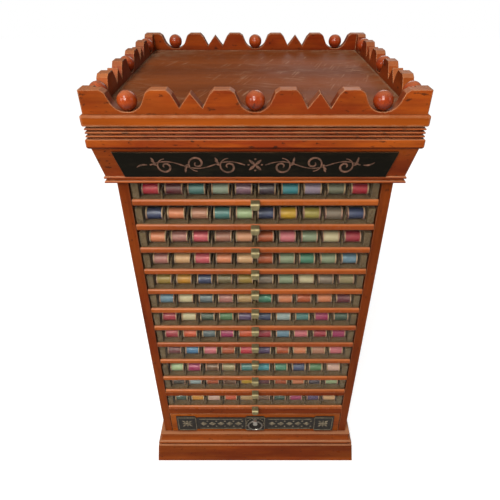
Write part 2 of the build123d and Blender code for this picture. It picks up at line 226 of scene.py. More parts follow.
def magnitude(tree, value):
    """A value without its sign."""
    return calculated(tree, "ABSOLUTE", value)


def mixed(tree, factor, first, second, blend="MIX"):
    """Blend two colours."""
    return add_node(tree, "ShaderNodeMix", {0: factor, 6: first, 7: second},
                    data_type="RGBA", blend_type=blend).outputs[2]


def tinted(tree, colour, tint):
    """Multiply a colour by another."""
    return mixed(tree, 1.0, colour, tint, "MULTIPLY")


def noise(tree, vector, scale, detail=4.0, roughness=0.55):
    """A noise value between 0 and 1."""
    return add_node(tree, "ShaderNodeTexNoise", {"Vector": vector, "Scale": scale, "Detail": detail,
                                                 "Roughness": roughness}).outputs[0]


def stretched(tree, vector, scale):
    """A vector scaled along each axis."""
    return add_node(tree, "ShaderNodeVectorMath", {0: vector, 1: scale}, operation="MULTIPLY").outputs[0]


def axes_of(tree, vector):
    """The three parts of a vector."""
    return add_node(tree, "ShaderNodeSeparateXYZ", {0: vector}).outputs


def object_place(tree):
    """Where a point lies in the object's own coordinates."""
    return add_node(tree, "ShaderNodeTexCoord").outputs["Object"]


def face_normal(tree):
    """The direction in which a face looks."""
    return add_node(tree, "ShaderNodeNewGeometry").outputs["Normal"]


def facing_up(tree):
    """1 on a face that looks straight up, 0 on an upright one and -1 on an underside."""
    return axes_of(tree, face_normal(tree))[2]


def agreement(tree, first, second):
    """1 where two directions are the same, 0 where they are square and -1 where they are opposite."""
    return add_node(tree, "ShaderNodeVectorMath", {0: first, 1: second},
                    operation="DOT_PRODUCT").outputs["Value"]


def bumped(tree, height, strength, depth, normal=None):
    """A normal that follows small heights, on top of another normal if one is given."""
    inputs = {"Strength": strength, "Distance": depth, "Height": height}
    if normal is not None:
        inputs["Normal"] = normal
    return add_node(tree, "ShaderNodeBump", inputs).outputs[0]


def set_surface(tree, output, inputs):
    """Give a material its one surface."""
    surface = add_node(tree, "ShaderNodeBsdfPrincipled", inputs)
    tree.links.new(surface.outputs[0], output.inputs["Surface"])


# Grain: growth rings, fine streaks and open pores along the X axis of the vector that comes in.
grain_group, inside, outside = new_group(
    "wood_grain",
    [("Vector", "Vector", None), ("Light", "Color", None), ("Dark", "Color", None),
     ("Ring Scale", "Float", 26.0), ("Contrast", "Float", 0.6)],
    [("Color", "Color"), ("Height", "Float")])
tree = grain_group
along = inside["Vector"]
cloud = noise(tree, stretched(tree, along, (1.2, 6, 6)), 2.0, 3)
warp = noise(tree, stretched(tree, along, (1.6, 9, 9)), 3.0, 2)
streak = noise(tree, stretched(tree, along, (3, 170, 170)), 1.0, 4, 0.6)
pore = noise(tree, stretched(tree, along, (22, 900, 900)), 1.0, 2, 0.5)
parts = axes_of(tree, along)
ring_place = plus(tree, plus(tree, parts[1], parts[2]), times(tree, warp, 0.12))
ring_wave = calculated(tree, "PINGPONG", times(tree, ring_place, inside["Ring Scale"]), 1.0)
figure = plus(tree, times(tree, ring_wave, 0.45), times(tree, streak, 0.55))
figure = plus(tree, figure, times(tree, cloud, 0.5))
figure = times(tree, ranged(tree, figure, 0.35, 1.15), inside["Contrast"])
wood_colour = mixed(tree, figure, inside["Light"], inside["Dark"])
pore_mask = ranged(tree, pore, 0.62, 0.72, 0.0, 0.35)
tree.links.new(mixed(tree, pore_mask, wood_colour, inside["Dark"]), outside["Color"])
tree.links.new(calculated(tree, "SUBTRACT", times(tree, streak, 0.4), pore_mask), outside["Height"])

# Edge wear: where the finish is rubbed off the arrises, from how much a rounded normal turns away.
wear_group, inside, outside = new_group(
    "edge_wear",
    [("Radius", "Float", 0.0015), ("Amount", "Float", 1.0), ("Scale", "Float", 30.0)],
    [("Mask", "Float"), ("Normal", "Vector")])
tree = wear_group
rounded = add_node(tree, "ShaderNodeBevel", {"Radius": inside["Radius"]}, samples=4).outputs[0]
rub = ranged(tree, agreement(tree, rounded, face_normal(tree)), 0.995, 0.90)
patches = noise(tree, object_place(tree), inside["Scale"], 5, 0.65)
rub = times(tree, rub, ranged(tree, patches, 0.34, 0.60, 0.25, 1.0))
tree.links.new(times(tree, rub, inside["Amount"]), outside["Mask"])
tree.links.new(rounded, outside["Normal"])

# Dust: a thin film on faces that look up, thicker in patches.
dust_group, inside, outside = new_group(
    "dust_film", [("Amount", "Float", 0.5), ("Scale", "Float", 9.0)], [("Mask", "Float")])
tree = dust_group
film = ranged(tree, noise(tree, object_place(tree), inside["Scale"], 6, 0.6), 0.3, 0.75, 0.25, 1.0)
film = times(tree, film, ranged(tree, facing_up(tree), 0.25, 0.95))
tree.links.new(times(tree, film, inside["Amount"]), outside["Mask"])

# Relief: painted highlight and wear on the tops of mouldings; painted shade on their undersides and in hollows,
# found with an ambient-occlusion node.
highlight_and_shade_group, inside, outside = new_group(
    "moulding_highlight_and_shade", [("Color", "Color", None), ("Pale", "Float", 0.4), ("Shade", "Float", 0.7)],
    [("Color", "Color")])
tree = highlight_and_shade_group
facing = facing_up(tree)
open_to_air = add_node(tree, "ShaderNodeAmbientOcclusion", {"Distance": HOLLOW_REACH}, samples=6).outputs["AO"]
hollow_shade = ranged(tree, open_to_air, 0.72, 0.38)
pale = times(tree, ranged(tree, facing, 0.45, 0.92), inside["Pale"])
pale = times(tree, pale, calculated(tree, "SUBTRACT", 1.0, hollow_shade))
shade = times(tree, larger(tree, ranged(tree, facing, -0.02, -0.40), hollow_shade), inside["Shade"])
relief_colour = mixed(tree, pale, inside["Color"], RUBBED_AND_HIGHLIGHT_CHERRY)
relief_colour = mixed(tree, shade, relief_colour, tinted(tree, relief_colour, (0.38, 0.26, 0.40)))
tree.links.new(relief_colour, outside["Color"])

# Age: the shellac gone redder and darker in clouds and runs, with small knocks and dark specks.
age_group, inside, outside = new_group(
    "aged_finish", [("Vector", "Vector", None), ("Color", "Color", None), ("Amount", "Float", 0.6)],
    [("Color", "Color")])
tree = age_group
along, fresh, amount = inside["Vector"], inside["Color"], inside["Amount"]
clouds = ranged(tree, noise(tree, stretched(tree, along, (3.5, 14, 14)), 1.0, 5, 0.6), 0.40, 0.62)
runs = ranged(tree, noise(tree, stretched(tree, along, (9, 60, 60)), 1.0, 4, 0.6), 0.52, 0.74)
specks = ranged(tree, noise(tree, stretched(tree, along, (80, 150, 150)), 1.0, 3, 0.6), 0.62, 0.69)
aged = mixed(tree, times(tree, amount, clouds), fresh, tinted(tree, fresh, (0.62, 0.34, 0.60)))
aged = mixed(tree, times(tree, amount, runs), aged, tinted(tree, fresh, (1.25, 1.18, 1.0)))
aged = mixed(tree, times(tree, amount, specks), aged, (0.045, 0.014, 0.006))
tree.links.new(aged, outside["Color"])


def grain_vector(tree, run):
    """Object coordinates turned so that the grain of each board runs along X."""
    axes = axes_of(tree, object_place(tree))

    def turned(direction):
        """The coordinates in the order that lays one direction along X."""
        parts = {index: axes[axis] for index, axis in enumerate(GRAIN_AXES[direction])}
        return add_node(tree, "ShaderNodeCombineXYZ", parts).outputs[0]

    if run in GRAIN_AXES:
        return turned(run)
    # In the case the side boards stand upright; in a mitred ring the boards at the sides run deep.
    sideways = magnitude(tree, axes[0])
    if run == "case":
        beside = calculated(tree, "GREATER_THAN", sideways, SIDE_BOARD_INNER)
    else:
        past_mitre = calculated(tree, "SUBTRACT", sideways, magnitude(tree, axes[1]))
        beside = calculated(tree, "GREATER_THAN", past_mitre, CASE_HALF_WIDTH - CASE_HALF_DEPTH)
    beside_run = turned("upright" if run == "case" else "deep")
    return add_node(tree, "ShaderNodeMix", {0: beside, 4: turned("across"), 5: beside_run},
                    data_type="VECTOR").outputs[1]


def shellacked_wood(name, run, light, dark, wear=0.6, wear_colour=RUBBED_AND_HIGHLIGHT_CHERRY, wear_radius=0.0018,
                    roughness=0.34, coat=0.0, gloss=0.10, dust=0.12, dust_colour=(0.22, 0.13, 0.08),
                    ring_scale=26.0, contrast=0.85, bump=0.12, age=0.6, pale=0.25, shade=0.7, inner=0.0,
                    bare=None):
    """Shellacked timber: grain, age, rubbed edges, a little dust and an uneven gloss,
    with painted highlight on faces that look up and painted shade on undersides and in hollows.

    Faces that look towards the middle of the object get painted shade, by the share `inner`. With `bare`,
    which is (level, light, dark), the wood behind that level in Y is unfinished.
    """
    made, tree, output = new_material(name)
    place = object_place(tree)
    vector = grain_vector(tree, run)
    grain = use_group(tree, grain_group, {"Vector": vector, "Light": light, "Dark": dark,
                                          "Ring Scale": ring_scale, "Contrast": contrast})
    edges = use_group(tree, wear_group, {"Radius": wear_radius, "Amount": wear})
    film = use_group(tree, dust_group, {"Amount": dust})["Mask"]
    colour = use_group(tree, age_group, {"Vector": vector, "Color": grain["Color"], "Amount": age})["Color"]
    # Painted shade on the faces that look inwards.
    if inner:
        outwards = add_node(tree, "ShaderNodeVectorMath", {0: stretched(tree, place, (1, 1, 0))},
                            operation="NORMALIZE").outputs[0]
        inward_shade = ranged(tree, agreement(tree, outwards, face_normal(tree)), -0.05, -0.45, 0.0, inner)
        colour = mixed(tree, inward_shade, colour, tinted(tree, colour, (0.60, 0.45, 0.60)))
    if bare is not None:
        level, bare_light, bare_dark = bare
        unfinished = use_group(tree, grain_group, {"Vector": grain_vector(tree, "deep"), "Light": bare_light,
                                                   "Dark": bare_dark, "Contrast": 0.8})
        behind = calculated(tree, "GREATER_THAN", axes_of(tree, place)[1], level)
        colour = mixed(tree, behind, colour, unfinished["Color"])
    # Painted highlight on tops, and painted shade on undersides and in hollows.
    colour = use_group(tree, highlight_and_shade_group, {"Color": colour, "Pale": pale, "Shade": shade})["Color"]
    colour = mixed(tree, edges["Mask"], colour, wear_colour)
    colour = mixed(tree, film, colour, dust_colour)
    smear = noise(tree, place, 22.0, 5, 0.65)
    rough = ranged(tree, smear, 0.3, 0.7, roughness - 0.08, roughness + 0.14)
    set_surface(tree, output, {
        "Base Color": colour, "Roughness": plus(tree, rough, times(tree, film, 0.35)),
        "Coat Weight": coat, "Coat Roughness": 0.16, "Specular IOR Level": gloss,
        "Normal": bumped(tree, grain["Height"], bump, 0.0006, edges["Normal"])})
    return made


def dress(node, material):
    """Give a piece its finish."""
    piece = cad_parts[node]
    piece.data.materials.clear()
    piece.data.materials.append(material)


dress("case_frame", shellacked_wood("cherry_case", "case", (0.255, 0.052, 0.008), (0.090, 0.017, 0.004),
                                    wear=0.5, gloss=0.05))

# ---- Back panel and runners ----
# The back is one thin panel let in between the sides; the runners are bare strips screwed to them,
# darkened by a century of dust and by the drawers that rub along their tops.

dress("back_panel", shellacked_wood("back_board", "upright", (0.36, 0.115, 0.034), (0.17, 0.050, 0.016),
                                    wear=0.2, roughness=0.55, dust=0.1, age=0.4))
dress("drawer_runners", shellacked_wood("bare_runner", "deep", (0.13, 0.085, 0.045), (0.045, 0.028, 0.015),
                                        wear=0.3, wear_colour=(0.34, 0.25, 0.15), roughness=0.6, dust=0.4))

# ---- Plinth ----
# Four cherry boards mitred and glued round the foot of the case, with a separate base moulding on top.
# They have been kicked and rubbed along every arris.

# The tops of the moulding carry a painted highlight as well as wear, and its undersides carry painted shade.
dress("plinth", shellacked_wood("cherry_plinth", "round", (0.32, 0.072, 0.010), (0.13, 0.026, 0.005),
                                wear=0.85, wear_radius=0.002, gloss=0.05, dust=0.25, ring_scale=20.0,
                                pale=0.5))

# ---- Cornice and top board ----
# The leaning frieze with its double bead, the reeded crown and the board that closes the top.
# The board's upper side is the tray: duller, scratched, with pale dust packed along the gallery.

CHERRY_LIGHT = (0.42, 0.092, 0.010)
CHERRY_DARK = (0.17, 0.033, 0.005)
GALLERY_INSET = 0.018
GALLERY_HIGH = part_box("gallery_boards")[1]
TRAY_HALF_X = GALLERY_HIGH.x - GALLERY_INSET
TRAY_HALF_Y = GALLERY_HIGH.y - GALLERY_INSET
TRAY_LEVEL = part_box("top_board")[1].z
TRAY_EDGE = 0.004
DUST_BAND = 0.055
SCRATCH_RUNS = ((0.35, 9.0), (1.9, 12.0), (2.7, 7.0))

# The reeds and beads of the crown carry a strong painted highlight on top and painted shade in the grooves and
# beneath.
dress("cornice", shellacked_wood("cherry_cornice", "round", CHERRY_LIGHT, CHERRY_DARK, wear=0.8,
                                 wear_radius=0.0014, dust=0.05, age=0.85, pale=0.75, shade=0.9))


def tray_material():
    """Edge like the rest of the cornice, its arris rubbed and carrying a painted highlight; upper side dull,
    scratched and dusty towards its corners.
    """
    made, tree, output = new_material("tray_board")
    edge_grain = use_group(tree, grain_group, {"Vector": grain_vector(tree, "round"), "Light": CHERRY_LIGHT,
                                               "Dark": CHERRY_DARK, "Contrast": 0.75})
    top_grain = use_group(tree, grain_group, {
        "Vector": grain_vector(tree, "across"), "Light": (0.290, 0.070, 0.013), "Dark": (0.125, 0.028, 0.006),
        "Ring Scale": 13.0, "Contrast": 0.85})
    place = object_place(tree)
    axes = axes_of(tree, place)
    off_x, off_y = magnitude(tree, axes[0]), magnitude(tree, axes[1])
    within = times(tree, calculated(tree, "LESS_THAN", off_x, TRAY_HALF_X + TRAY_EDGE),
                   calculated(tree, "LESS_THAN", off_y, TRAY_HALF_Y + TRAY_EDGE))
    on_top = times(tree, within, calculated(tree, "GREATER_THAN", axes[2], TRAY_LEVEL - 0.002))
    # Long pale scratches at several angles.
    scratches = 0.0
    for turn, spread in SCRATCH_RUNS:
        spun = add_node(tree, "ShaderNodeVectorRotate", {"Vector": place, "Angle": turn}, rotation_type="Z_AXIS")
        lines = noise(tree, stretched(tree, spun.outputs[0], (spread, 260, 1)), 1.0, 2, 0.5)
        where = ranged(tree, noise(tree, place, 5.0 + spread, 3), 0.50, 0.62)
        scratches = larger(tree, scratches, times(tree, ranged(tree, lines, 0.60, 0.68), where))
    scratches = times(tree, scratches, 0.42)
    top_colour = mixed(tree, scratches, top_grain["Color"], (0.55, 0.33, 0.20))
    # Dust that thickens beside the gallery and in the corners, and lies packed in the seam.
    near_edge = larger(tree, ranged(tree, off_x, TRAY_HALF_X - DUST_BAND, TRAY_HALF_X),
                       ranged(tree, off_y, TRAY_HALF_Y - DUST_BAND, TRAY_HALF_Y))
    near_edge = calculated(tree, "POWER", near_edge, 2.0)
    corner = times(tree, ranged(tree, off_x, 0.10, TRAY_HALF_X), ranged(tree, off_y, 0.08, TRAY_HALF_Y))
    speckle = ranged(tree, noise(tree, place, 42.0, 6, 0.7), 0.36, 0.66)
    dusty = times(tree, plus(tree, times(tree, near_edge, 0.55), times(tree, corner, 0.8)), speckle)
    seam = larger(tree, ranged(tree, off_x, TRAY_HALF_X - 0.007, TRAY_HALF_X - 0.002),
                  ranged(tree, off_y, TRAY_HALF_Y - 0.009, TRAY_HALF_Y - 0.002))
    packed = ranged(tree, noise(tree, place, 26.0, 4), 0.35, 0.6, 0.15, 0.95)
    dusty = larger(tree, dusty, times(tree, seam, packed))
    dusty = larger(tree, dusty, use_group(tree, dust_group, {"Amount": 0.07, "Scale": 7.0})["Mask"])
    top_colour = mixed(tree, dusty, top_colour, (0.29, 0.175, 0.105))
    # The rim's arris is rubbed and also carries a pale painted highlight line.
    edges = use_group(tree, wear_group, {"Radius": 0.0040, "Amount": 1.3})
    rim_wear_and_highlight = mixed(tree, edges["Mask"], edge_grain["Color"], (0.82, 0.50, 0.31))
    rough = plus(tree, ranged(tree, noise(tree, place, 18.0, 5, 0.6), 0.3, 0.7, 0.30, 0.46),
                 times(tree, times(tree, dusty, on_top), 0.4))
    height = calculated(tree, "SUBTRACT", top_grain["Height"], scratches)
    set_surface(tree, output, {
        "Base Color": mixed(tree, on_top, rim_wear_and_highlight, top_colour), "Roughness": rough,
        "Specular IOR Level": 0.02, "Normal": bumped(tree, height, 0.2, 0.0006, edges["Normal"])})
    return made


dress("top_board", tray_material())

# ---- Gallery and balls ----
# Fretted boards, cut with a bow saw and mitred at the corners; the sawn tops have rubbed pale.
# Turned balls, dipped in red-orange shellac, stand in the round notches.

# The inward faces of the boards carry painted shade.
dress("gallery_boards", shellacked_wood("cherry_gallery", "round", (0.44, 0.095, 0.010), (0.19, 0.036, 0.005),
                                        wear=1.0, wear_colour=(0.60, 0.30, 0.15), wear_radius=0.0024, dust=0.35,
                                        dust_colour=(0.42, 0.150, 0.060), age=0.75, pale=0.35, inner=0.8))
# Each ball carries a painted highlight on its top and painted shade beneath.
dress("gallery_balls", shellacked_wood("red_ball", "upright", (0.44, 0.070, 0.010), (0.22, 0.032, 0.006),
                                       wear=0.0, roughness=0.16, coat=0.25, gloss=0.3, dust=0.0, contrast=0.5,
                                       bump=0.03))

# ---- Sign panel ----
# A thin board painted black and fixed flat on the sloping frieze.
# A running vine scroll is lined on it with a brush, in an old rose-tan paint that has rubbed thin.

black_paint, tree, output = new_material("sign_black")
rubs = noise(tree, stretched(tree, object_place(tree), (1.5, 6, 6)), 14.0, 6, 0.7)
rubs = ranged(tree, rubs, 0.50, 0.72)
tone = mixed(tree, times(tree, rubs, 0.42), (0.0050, 0.0042, 0.0022), (0.030, 0.021, 0.011))
edges = use_group(tree, wear_group, {"Radius": 0.001, "Amount": 1.0})
tone = mixed(tree, edges["Mask"], tone, (0.20, 0.09, 0.04))
set_surface(tree, output, {"Base Color": tone, "Roughness": ranged(tree, rubs, 0, 1, 0.34, 0.6),
                           "Specular IOR Level": 0.1, "Normal": edges["Normal"]})
dress("sign_panel", black_paint)

rose_paint, tree, output = new_material("scroll_rose")
patchy = ranged(tree, noise(tree, object_place(tree), 130.0, 5, 0.7), 0.36, 0.64)
tone = mixed(tree, patchy, (0.060, 0.034, 0.022), (0.24, 0.115, 0.075))
set_surface(tree, output, {"Base Color": tone, "Roughness": ranged(tree, patchy, 0, 1, 0.7, 0.45),
                           "Specular IOR Level": 0.35})

SIGN_THICKNESS = 0.003
SIGN_LEAN = atan2(0.0095, 0.0510)
PAINT_FOOT = 0.00004
PAINT_BODY = 0.00022
sign_low, sign_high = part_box("sign_panel")
sign_middle = Vector((0, (sign_low.y + sign_high.y) / 2 - SIGN_THICKNESS / 2 * cos(SIGN_LEAN),
                      (sign_low.z + sign_high.z) / 2 - SIGN_THICKNESS / 2 * sin(SIGN_LEAN)))
sign_up = Vector((0, -sin(SIGN_LEAN), cos(SIGN_LEAN)))
sign_out = Vector((0, -cos(SIGN_LEAN), -sin(SIGN_LEAN)))


def on_sign(across, up, out):
    """A point on the sign's sloping face, measured from its middle."""
    return sign_middle + Vector((across, 0, 0)) + sign_up * up + sign_out * out


def brush_stroke(mesh, line, widths, body=PAINT_BODY):
    """A flat painted stroke with a little body, along a line of (across, up) points."""
    rows = []
    for index, point in enumerate(line):
        before = Vector(line[max(index - 1, 0)])
        after = Vector(line[min(index + 1, len(line) - 1)])
        direction = (after - before).normalized()
        side = Vector((-direction.y, direction.x)) * widths[index] / 2
        left, right = Vector(point) + side, Vector(point) - side
        rows.append([mesh.verts.new(on_sign(edge.x, edge.y, out)) for edge, out in (
            (left, PAINT_FOOT), (left, body), (right, body), (right, PAINT_FOOT))])
    for first, second in zip(rows, rows[1:]):
        for corner in range(4):
            following = (corner + 1) % 4
            mesh.faces.new((first[corner], first[following], second[following], second[corner]))
    mesh.faces.new(rows[0][::-1])
    mesh.faces.new(rows[-1])


def spiral(centre, start_radius, turns, start_angle, hand, steps=40):
    """Points of a scroll that winds in on its centre."""
    points = []
    for step in range(steps + 1):
        share = step / steps
        radius = start_radius * (1 - 0.86 * share)
        angle = start_angle + hand * turns * 2 * pi * share
        points.append((centre[0] + radius * cos(angle), centre[1] + radius * sin(angle)))
    return points


def swelling(count, widest, thinnest):
    """Stroke widths that swell in the middle and taper at both ends."""
    return [thinnest + (widest - thinnest) * sin(pi * step / (count - 1)) for step in range(count)]


def leaf(centre, length, angle, bend=0.25, steps=10):
    """A short bent line for a pointed leaf."""
    points = []
    for step in range(steps + 1):
        share = step / steps
        turn = angle + bend * (share - 0.5)
        points.append((centre[0] + length * share * cos(turn), centre[1] + length * share * sin(turn)))
    return points


def new_piece(name, mesh, *materials):
    """Turn a built mesh into an object with its materials."""
    bmesh.ops.recalc_face_normals(mesh, faces=mesh.faces)
    data = bpy.data.meshes.new(name)
    mesh.to_mesh(data)
    mesh.free()
    for material in materials:
        data.materials.append(material)
    piece = bpy.data.objects.new(name, data)
    scene.collection.objects.link(piece)
    return piece


SCROLL_PITCH = 0.050
SCROLL_RADIUS = 0.0155
SCROLL_TURNS = 1.35
SCROLL_COUNT = 3
STEM_START = 0.016
STEM_SWAY = 0.0062
STEM_STEPS = 120
strokes = bmesh.new()
for hand in (-1, 1):
    stem = []
    for step in range(STEM_STEPS + 1):
        share = step / STEM_STEPS
        across = STEM_START + share * SCROLL_PITCH * SCROLL_COUNT
        stem.append((hand * across, STEM_SWAY * sin(pi * share * SCROLL_COUNT)))
    brush_stroke(strokes, stem, [0.0016 + 0.0006 * sin(0.33 * step) for step in range(len(stem))])
    for scroll in range(SCROLL_COUNT):
        upward = 1 if scroll % 2 == 0 else -1
        centre = (hand * (STEM_START + (scroll + 0.52) * SCROLL_PITCH), -upward * 0.0030)
        winding = spiral(centre, SCROLL_RADIUS * (1 - 0.04 * scroll), SCROLL_TURNS, upward * pi / 2,
                         -hand * upward)
        brush_stroke(strokes, winding, swelling(len(winding), 0.0032, 0.0012))
        for spur in range(3):
            foot = (centre[0] + hand * (0.013 + 0.002 * spur), centre[1] + upward * (0.002 + 0.0035 * spur))
            angle = (pi / 2 - hand * (pi / 2 - 0.5)) * upward + 0.35 * spur * hand * upward
            blade = leaf(foot, 0.0085, angle)
            brush_stroke(strokes, blade, swelling(len(blade), 0.0030, 0.0005))
    tail = leaf((hand * (0.020 + SCROLL_COUNT * SCROLL_PITCH), 0.0), 0.018, 0 if hand > 0 else pi, 0.5)
    brush_stroke(strokes, tail, swelling(len(tail), 0.0030, 0.0006))
# A small crossed flower with four dots stands in the middle.
for turn in range(4):
    blade = leaf((0, 0), 0.0135, turn * pi / 2 + pi / 4, 0.0)
    brush_stroke(strokes, blade, swelling(len(blade), 0.0045, 0.0008), PAINT_BODY + 0.00003 * turn)
    dot = spiral((0.0105 * cos(turn * pi / 2), 0.0105 * sin(turn * pi / 2)), 0.0014, 1.0, 0, 1, 12)
    brush_stroke(strokes, dot, [0.0012] * len(dot), 0.0003)
sign_scrollwork = new_piece("sign_scrollwork", strokes, rose_paint)
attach(sign_scrollwork, "case")

# ---- Glass-fronted drawers: boxes ----
# A bullnosed cherry rail along the front, kept bright by hands, with a painted highlight on its top
# and painted shade beneath; behind the glass the box and its lane slats are bare poplar, gone brown with dust.

DRAWERS = [f"drawer_{number:02d}" for number in range(1, 13)]
GLASS_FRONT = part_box("drawer_01_glass")[0].y


def drawer_material():
    """Polished rail in front of the glass, with painted highlight on top and painted shade beneath; bare boards,
    dull and dusty, behind it.
    """
    made, tree, output = new_material("drawer_boards")
    rail_grain = use_group(tree, grain_group, {
        "Vector": grain_vector(tree, "across"), "Light": (0.50, 0.120, 0.020), "Dark": (0.22, 0.045, 0.008),
        "Ring Scale": 60.0, "Contrast": 0.7})
    box_grain = use_group(tree, grain_group, {
        "Vector": grain_vector(tree, "deep"), "Light": (0.125, 0.070, 0.034), "Dark": (0.036, 0.020, 0.010),
        "Ring Scale": 40.0, "Contrast": 0.7})
    place = object_place(tree)
    behind = calculated(tree, "GREATER_THAN", axes_of(tree, place)[1], GLASS_FRONT + 0.0005)
    grime = ranged(tree, noise(tree, place, 260.0, 4, 0.7), 0.38, 0.66, 0.0, 0.5)
    box_colour = mixed(tree, grime, box_grain["Color"], (0.26, 0.19, 0.115))
    film = use_group(tree, dust_group, {"Amount": 0.5, "Scale": 30.0})["Mask"]
    box_colour = mixed(tree, film, box_colour, (0.175, 0.100, 0.052))
    # The rails differ a little in colour; painted shade darkens their undersides and a painted highlight
    # lightens their tops.
    batch = ranged(tree, noise(tree, stretched(tree, place, (1.3, 1, 16)), 1.0, 2), 0.36, 0.62)
    rail_tint = mixed(tree, batch, (0.70, 0.58, 0.60), (1.12, 1.20, 1.10))
    rail_colour = tinted(tree, rail_grain["Color"], rail_tint)
    facing = facing_up(tree)
    rail_colour = mixed(tree, ranged(tree, facing, -0.50, 0.45, 0.80, 0.0), rail_colour, (0.16, 0.028, 0.005))
    rail_colour = mixed(tree, ranged(tree, facing, 0.35, 0.90, 0.0, 0.50), rail_colour, (0.52, 0.21, 0.10))
    edges = use_group(tree, wear_group, {"Radius": 0.0012, "Amount": 0.6, "Scale": 24.0})
    rail_colour = mixed(tree, edges["Mask"], rail_colour, RUBBED_AND_HIGHLIGHT_CHERRY)
    polish = ranged(tree, noise(tree, place, 30.0, 5, 0.6), 0.3, 0.7, 0.20, 0.34)
    set_surface(tree, output, {
        "Base Color": mixed(tree, behind, rail_colour, box_colour),
        "Roughness": ranged(tree, behind, 0, 1, polish, 0.72),
        "Coat Weight": ranged(tree, behind, 0, 1, 0.06, 0.0), "Coat Roughness": 0.12,
        "Specular IOR Level": 0.18,
        "Normal": bumped(tree, rail_grain["Height"], 0.14, 0.0005, edges["Normal"])})
    return made


drawer_boards = drawer_material()
for drawer in DRAWERS:
    dress(f"{drawer}_box", drawer_boards)

# ---- Glass panes ----
# One strip of thin old window glass for each drawer, faintly green.
# It stands on edge behind the lip of the drawer's rail and keeps the dust off the spools.

pane_material, tree, output = new_material("pane_glass")
seen = add_node(tree, "ShaderNodeLightPath").outputs
pane = add_node(tree, "ShaderNodeBsdfPrincipled", {
    "Base Color": (0.95, 0.97, 0.94), "Roughness": 0.02, "IOR": 1.15, "Transmission Weight": 1.0})
clear = add_node(tree, "ShaderNodeBsdfTransparent", {"Color": (0.93, 0.96, 0.93)})
passing = larger(tree, seen["Is Shadow Ray"], seen["Is Diffuse Ray"])
through = add_node(tree, "ShaderNodeMixShader", {0: passing, 1: pane.outputs[0], 2: clear.outputs[0]})
tree.links.new(through.outputs[0], output.inputs["Surface"])
for drawer in DRAWERS:
    dress(f"{drawer}_glass", pane_material)

# ---- Wound spools ----
# Small birch spools with thin pale flanges, wound nearly full with silk; each lies across its lane.
# The windings ride up and down in fine ridges, and the silk keeps a soft band of light.

THREAD = {
    "rose_red": (0.40, 0.035, 0.055), "maroon": (0.085, 0.012, 0.020), "teal": (0.050, 0.135, 0.135),
    "pale_grey_green": (0.28, 0.32, 0.27), "mauve": (0.20, 0.105, 0.15), "purple_black": (0.030, 0.016, 0.030),
    "bright_teal": (0.060, 0.22, 0.27), "lilac": (0.30, 0.23, 0.32), "grey_olive": (0.15, 0.15, 0.11),
    "navy": (0.018, 0.026, 0.075), "salmon": (0.55, 0.21, 0.13), "dusty_salmon": (0.38, 0.18, 0.13),
    "pale_green": (0.30, 0.36, 0.22), "gold": (0.46, 0.27, 0.055), "olive_yellow": (0.28, 0.22, 0.07),
    "taupe": (0.17, 0.125, 0.10), "dusty_rose": (0.33, 0.14, 0.13), "rose_pink": (0.48, 0.115, 0.14),
    "brown_pink": (0.28, 0.125, 0.095), "pale_salmon": (0.55, 0.27, 0.18), "brick": (0.34, 0.080, 0.040),
    "pink": (0.50, 0.16, 0.19), "sage": (0.19, 0.22, 0.15), "cream": (0.50, 0.42, 0.29),
    "crimson": (0.27, 0.018, 0.035), "peach": (0.56, 0.33, 0.20), "teal_green": (0.045, 0.15, 0.10),
    "steel_blue": (0.12, 0.19, 0.26), "olive_gold": (0.26, 0.17, 0.05), "amber": (0.42, 0.19, 0.035),
    "slate": (0.075, 0.095, 0.11), "olive_brown": (0.11, 0.080, 0.035), "khaki": (0.24, 0.19, 0.11),
    "tan": (0.38, 0.23, 0.12), "dark_green": (0.016, 0.035, 0.022), "green": (0.055, 0.125, 0.055),
    "purple": (0.060, 0.030, 0.085), "pale_blue": (0.28, 0.33, 0.35), "magenta": (0.26, 0.030, 0.090),
    "coral": (0.48, 0.105, 0.065), "blue": (0.060, 0.14, 0.26), "brown": (0.115, 0.050, 0.026),
    "pale_pink": (0.54, 0.34, 0.30), "orange": (0.50, 0.21, 0.035), "brown_black": (0.028, 0.018, 0.012),
}
ROWS = [
    "rose_red maroon teal pale_grey_green mauve purple_black bright_teal lilac grey_olive rose_red",
    "navy salmon dusty_salmon teal pale_green navy gold olive_yellow taupe navy",
    "salmon dusty_rose rose_pink brown_pink pale_salmon brick pink sage cream crimson",
    "dusty_rose peach rose_pink salmon peach brick sage teal_green sage steel_blue",
    "olive_gold amber navy olive_brown olive_gold taupe sage cream taupe khaki",
    "steel_blue cream slate dusty_rose tan teal_green salmon brick salmon maroon",
    "crimson cream dark_green green purple navy pale_blue teal magenta dark_green",
    "crimson coral slate magenta coral crimson steel_blue pink crimson magenta",
    "maroon blue pink brick rose_red purple brick salmon dusty_salmon pink",
    "pale_green magenta brown khaki teal bright_teal teal_green navy green pale_pink",
    "brown_black pale_blue brick brown gold maroon brick salmon purple_black pale_green",
    "dark_green orange pale_pink coral tan brown dark_green magenta purple peach",
]

silk, tree, output = new_material("silk_thread")
dye = add_node(tree, "ShaderNodeAttribute", attribute_name="dye").outputs["Color"]
place = object_place(tree)
strand = noise(tree, stretched(tree, place, (5200, 60, 60)), 1.0, 2, 0.5)
shade = mixed(tree, ranged(tree, strand, 0.25, 0.75), (0.72, 0.72, 0.72), (1.12, 1.12, 1.12))
dyed = add_node(tree, "ShaderNodeHueSaturation", {"Saturation": 1.16, "Color": tinted(tree, dye, shade)})
fade = ranged(tree, noise(tree, place, 60.0, 4, 0.6), 0.35, 0.7, 0.0, 0.07)
set_surface(tree, output, {
    "Base Color": mixed(tree, fade, dyed.outputs[0], (0.42, 0.34, 0.26)),
    "Roughness": ranged(tree, strand, 0, 1, 0.40, 0.52), "Specular IOR Level": 0.55,
    "Normal": bumped(tree, strand, 0.35, 0.0002)})

